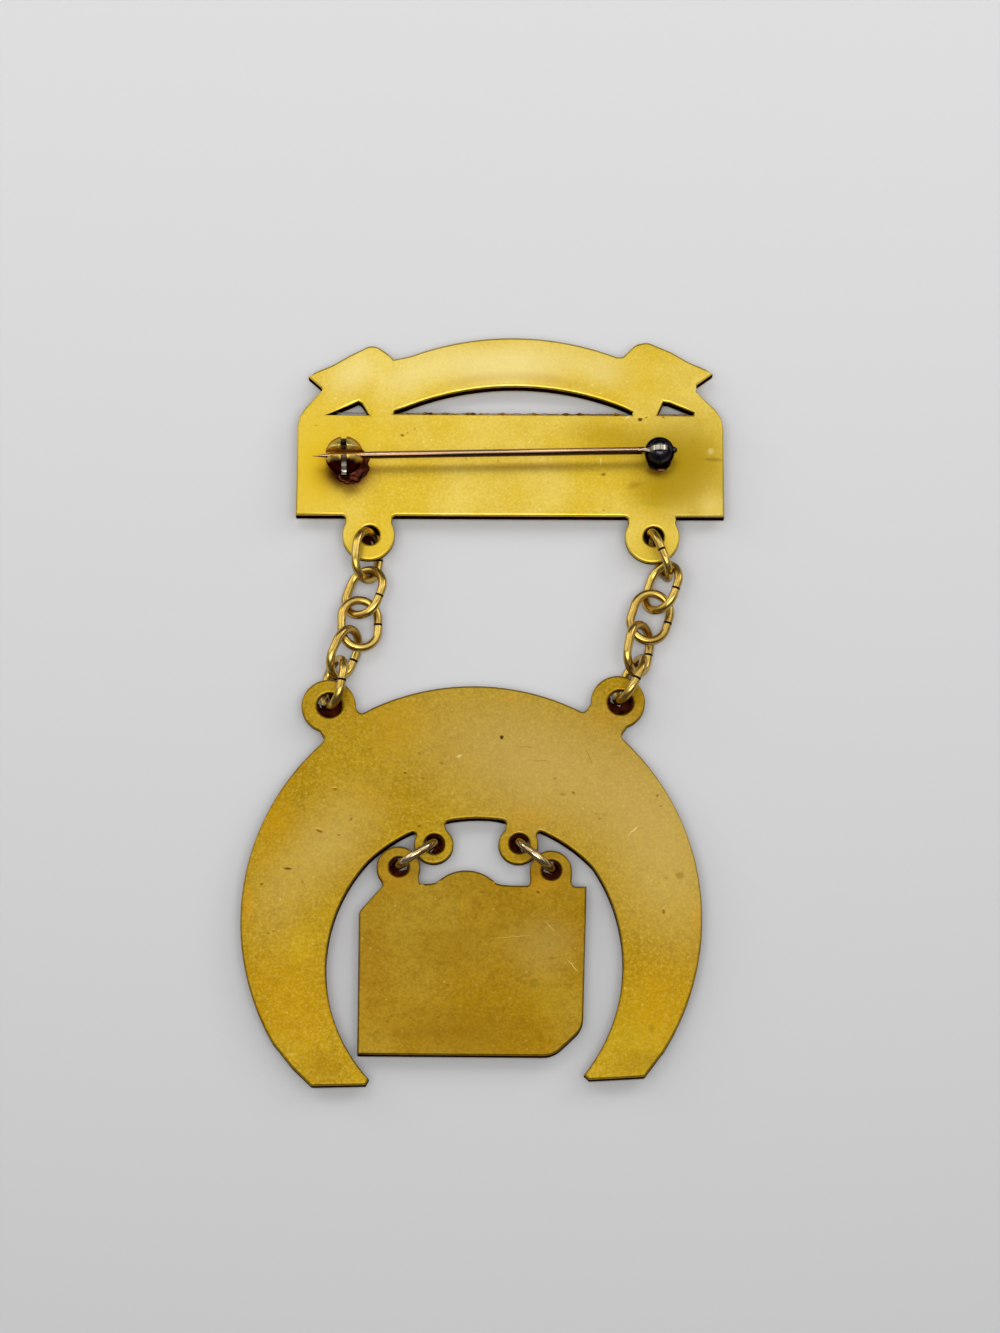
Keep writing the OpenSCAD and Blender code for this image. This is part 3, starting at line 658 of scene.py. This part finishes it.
def finding(name, centre, material):
    # what stands on the bar round a point, down to the solder
    bm = mergedCopy("top_bar")
    cutAway(bm, findings["above"], False)
    far = [v for v in bm.verts if (v.co - centre).length > findings["reach"]]
    bmesh.ops.delete(bm, geom=far, context="VERTS")
    if centre == jointAt:
        # the rivet's ends are filed flush with the ball
        ball = centre - Vector((0, 0, findings["ballDrop"]))
        for v in bm.verts:
            out = v.co - ball
            if out.length > findings["ball"] and v.co.z > ball.z:
                v.co = ball + out.normalized() * findings["ball"]
            # below, the joint goes straight down like a barrel
            across = out.to_2d().length
            if out.z < -findings["neckTop"] and across > findings["neckCore"]:
                v.co += (out.to_2d() * (findings["neckRadius"] / across - 1)).to_3d()
    addPiece(name, bm, "badge", [material], ["top_bar"])


finding("catch_ball", catchAt, catchGiltStainAndShade)
finding("joint_ball", jointAt, blackSteel)

# Solder has run round the feet of the catch and the joint: place, radius, height, how uneven it is,
# and the strip under the safety ring's groove that stays low. A slump above 1 spreads its foot. Its
# bumps are about the grain's size, with finer ones and crumbs on them, and it is sunk in the bar.
solders = {
    "catch_solder": {
        "at": catchAt - 0.5 * mm * pinLine - 0.25 * mm * pinAcross, "radius": 2.08 * mm,
        "height": 0.8 * mm, "uneven": 0.24 * mm, "material": solderMaroon,
        "low": 0.45 * mm, "lowTop": 0.14 * mm},
    "joint_solder": {
        "at": jointAt - 0.42 * mm * pinAcross, "radius": 1.22 * mm,
        "height": 0.45 * mm, "uneven": 0.12 * mm, "material": solderRed, "low": 0, "lowTop": 0}}
solder = {"slump": 2.2, "grain": 0.9 * mm, "finer": 2.3, "finerShare": 0.5,
          "crumb": 3.1, "crumbShare": 0.4, "sunk": 0.1 * mm}
for name, look in solders.items():
    bm = bmesh.new()
    bmesh.ops.create_uvsphere(bm, u_segments=72, v_segments=36, radius=1)
    foot = Vector((look["at"].x, look["at"].y, backZ))
    for v in bm.verts:
        across = v.co.to_2d().to_3d() * look["radius"]
        rise = math.copysign(abs(v.co.z) ** solder["slump"], v.co.z) * look["height"]
        v.co = foot + across + Vector((0, 0, rise))
        at = v.co / solder["grain"]
        push = noise.noise(at) + solder["finerShare"] * noise.noise(at * solder["finer"])
        away = Vector((v.co.x - foot.x, v.co.y - foot.y, 0))
        v.co += away.normalized() * push * look["uneven"] * min(1, away.length / look["radius"])
        at = v.co / solder["grain"] * solder["crumb"] + Vector((4, 0, 0))
        v.co.z += solder["crumbShare"] * look["uneven"] * noise.noise(at)
        if abs((v.co - catchAt).dot(pinLine)) < look["low"]:
            v.co.z = min(v.co.z, backZ + look["lowTop"])
    cutAway(bm, backZ - solder["sunk"], False)
    addPiece(name, bm, "badge", [look["material"]], smooth=60)

# A little tail of the joint's band stands out on the far side of the ball
tail = {"at": jointAt + Vector((1.45, 0.1, -0.2)) * mm, "radius": 0.32 * mm}
bm = bmesh.new()
bmesh.ops.create_uvsphere(bm, u_segments=24, v_segments=12, radius=tail["radius"],
                          matrix=Matrix.Translation(tail["at"]))
addPiece("joint_tail", bm, "badge", [blackSteel])

# A thin dark rough rod runs along each window's near edge, from one end to the other, thicker in
# places, and thin at its tips, all in millimetres
edgeLines = {
    "window_edge_line": {
        "from": (-9.2, 30.24), "to": (14.0, 30.13), "radius": 0.06, "loops": 260,
        "lumps": (-6.2, -5.6, -4.1, -1.8, -1.4, 1.7, 4.9, 8.1, 9.5, 13.2)},
    "left_window_edge_line": {
        "from": (-15.2, 30.3), "to": (-12.0, 30.28), "radius": 0.045, "loops": 40, "lumps": ()},
    "right_window_edge_line": {
        "from": (17.3, 30.12), "to": (20.4, 30.1), "radius": 0.045, "loops": 40, "lumps": ()}}
rough = {"grain": 0.35, "mean": 0.75, "uneven": 0.8, "lump": 0.09, "lumpReach": 0.22,
         "tip": 0.25, "taper": 30, "sway": 0.05}
for name, edgeLine in edgeLines.items():
    start, end = Vector(edgeLine["from"] + (backZ / mm,)), Vector(edgeLine["to"] + (backZ / mm,))
    line = end - start
    # a rod one long, cut into loops and then laid along the edge
    bm = bmesh.new()
    bmesh.ops.create_cone(bm, cap_ends=True, segments=10, radius1=1, radius2=1, depth=1)
    long = [e for e in bm.edges if abs(e.verts[0].co.z - e.verts[1].co.z) > 0.5]
    bmesh.ops.subdivide_edges(bm, edges=long, cuts=edgeLine["loops"])
    for v in bm.verts:
        along = v.co.z + 0.5
        x = start.x + along * line.x
        uneven = noise.noise(Vector((x / rough["grain"], 3, 0)))
        thick = edgeLine["radius"] * (rough["mean"] + rough["uneven"] * uneven)
        for lump in edgeLine["lumps"]:
            thick += rough["lump"] * math.exp(-((x - lump) / rough["lumpReach"]) ** 2)
        thick *= min(1, rough["tip"] + rough["taper"] * min(along, 1 - along))
        sway = rough["sway"] * noise.noise(Vector((x / rough["grain"] / 2, 7, 0)))
        side = Vector((0, v.co.x, v.co.y)) * thick
        v.co = (start + along * line + side + Vector((0, sway, 0))) * mm
    bmesh.ops.recalc_face_normals(bm, faces=bm.faces)
    addPiece(name, bm, "badge", [darkLineBrass], smooth=60)

# The chain's wire is this much stouter, but less so where two links nearly meet
linkMore = {"all": 0.045 * mm, "right_link_1": 0.02 * mm}
cutDark = 0.11 * mm                    # how far the wire is dark to each side of its cut's middle
cutNear = 0.55 * mm                    # all of the wire at the cut is within this of its middle
cutTurn = 60                           # only the wire's cut ends turn by more degrees than this


def darkenCut(bm):
    # tarnish fills the cut where a link or a ring was closed, and runs a little way along the wire;
    # dictionaries keep their order, so that each run adds up the same way
    rim = dict.fromkeys(v for e in sharpEdges(bm, cutTurn) for v in e.verts)
    middle = sum((v.co for v in rim), Vector()) / len(rim)
    ends = [f for f in bm.faces if all(v in rim for v in f.verts)]
    along = ends[0].normal.copy()
    for side in (-1, 1):
        near = dict.fromkeys(f for v in rim for f in v.link_faces
                             if (f.calc_center_median() - middle).dot(along) * side > 0)
        geom = list(near) + list(dict.fromkeys(e for f in near for e in f.edges))
        geom += list(dict.fromkeys(v for f in near for v in f.verts))
        bmesh.ops.bisect_plane(bm, geom=geom, dist=weld / 2, plane_no=along,
                               plane_co=middle + side * cutDark * along)
    for face in bm.faces:
        out = face.calc_center_median() - middle
        if out.length < cutNear and abs(out.dot(along)) < cutDark:
            face.material_index = 1


wires = {"pin_stem": ("pin_wire", "pin", "pin_steel", pinSteel),
         "catch_ring": ("safety_ring", "safety_ring", "pale_nickel", catchNickel)}
for side in ("left", "right"):
    for number in range(1, 6):
        node = f"{side}_link_{number}"
        wires[node] = (f"{side}_chain_link_{number}", "badge", "wire_gilt", wireBrass)
    wires[f"{side}_drop_ring"] = (f"{side}_jump_ring", "badge", "wire_gilt", ringBrass)
for node, (name, body, slotName, material) in wires.items():
    bm = mergedCopy(node)
    if "link" in node:
        bm.normal_update()
        for v in bm.verts:
            v.co += v.normal * linkMore.get(node, linkMore["all"])
    if body == "badge":
        darkenCut(bm)
    addPiece(name, bm, body, [material, cutBrass], [node])
print("findings and wires made")


# Floor, lights and camera

# painted shade: the board greys from the far side to the near one, for the light's falloff
board = {"size": 1.6, "near": "#C2C2C2", "nearY": -70 * mm, "far": "#DEDEDE", "farY": 75 * mm,
         "roughness": 0.75}


def paleFloor():
    material = bpy.data.materials.new("pale board")
    material.use_nodes = True
    tree = material.node_tree
    shader = tree.nodes["Principled BSDF"]
    place = addNode(tree, "ShaderNodeTexCoord").outputs["Object"]
    y = addNode(tree, "ShaderNodeSeparateXYZ", {0: place}).outputs[1]
    far = addNode(tree, "ShaderNodeMapRange", {
        0: y, 1: board["nearY"], 2: board["farY"]}).outputs[0]
    colour = mixColour(tree, far, linear(board["near"]), linear(board["far"]))
    tree.links.new(colour, shader.inputs["Base Color"])
    shader.inputs["Roughness"].default_value = board["roughness"]
    return material


bm = bmesh.new()
bmesh.ops.create_grid(bm, x_segments=1, y_segments=1, size=board["size"] / 2)
mesh = bpy.data.meshes.new("floor")
bm.to_mesh(mesh)
bm.free()
mesh.materials.append(paleFloor())
floor = bpy.data.objects.new("floor", mesh)
bpy.context.scene.collection.objects.link(floor)

# The photo is taken from the plaque's side, 16 degrees off upright, by a lens whose focal length is
# 3800 of the photo's pixels, which is 1333 high
aim = Vector((1.4, 4.2, 0)) * mm
view = {"away": 380 * mm, "tilt": math.radians(16), "sensor": 36, "lens": 36 * 3800 / 1333}


def lookFrom(obj, place, target):
    obj.location = place
    obj.rotation_mode = "QUATERNION"
    obj.rotation_quaternion = (target - place).to_track_quat("-Z", "Y")


def addLight(name, size, power, colour, away, tilt, turn):
    data = bpy.data.lights.new(name, "AREA")
    data.shape = "RECTANGLE"
    data.size, data.size_y = size
    data.energy = power
    data.color = linear(colour)[:3]
    light = bpy.data.objects.new(name, data)
    bpy.context.scene.collection.objects.link(light)
    off, way = math.radians(tilt), math.radians(turn)
    towards = Vector((math.sin(off) * math.sin(way), math.sin(off) * math.cos(way), math.cos(off)))
    lookFrom(light, aim + away * towards, aim)


# name, width and height, watts, colour, distance from the aim, tilt off upright in degrees, and
# which way it tilts: 0 is towards the bar, 90 to the right and 180 towards the plaque
lights = [
    ("key", (0.16, 0.16), 0.25, "#FFFFFF", 0.8, 28, -12),
    ("overhead", (0.8, 0.3), 0.5, "#FDFBFA", 0.5, 32, 0),
    ("near panel", (0.4, 0.22), 1.4, "#FFFFFF", 0.5, 17, 180),
    ("left panel", (0.4, 0.4), 0.38, "#FBFBFF", 0.45, 40, -78),
    ("right panel", (0.4, 0.4), 0.38, "#FBFBFF", 0.45, 40, 78),
    ("left low", (0.2, 0.12), 0.2, "#FFFFFF", 0.45, 70, -59),
    ("right low", (0.2, 0.12), 0.2, "#FFFFFF", 0.45, 61, 57),
]
for light in lights:
    addLight(*light)

room = {"colour": "#C8C8CC", "strength": 0.15}
world = bpy.data.worlds.new("room")
world.use_nodes = True
background = world.node_tree.nodes["Background"]
background.inputs["Color"].default_value = linear(room["colour"])
background.inputs["Strength"].default_value = room["strength"]
bpy.context.scene.world = world
bpy.context.scene.view_settings.view_transform = "Standard"     # colours come out as they are set

cameraData = bpy.data.cameras.new("camera")
cameraData.sensor_width = view["sensor"]
cameraData.lens = view["lens"]
cameraData.clip_start = 10 * mm
camera = bpy.data.objects.new("camera", cameraData)
bpy.context.scene.collection.objects.link(camera)
upwards = Vector((0, -math.sin(view["tilt"]), math.cos(view["tilt"])))
lookFrom(camera, aim + view["away"] * upwards, aim)
bpy.context.scene.camera = camera
print("floor, lights and camera set")
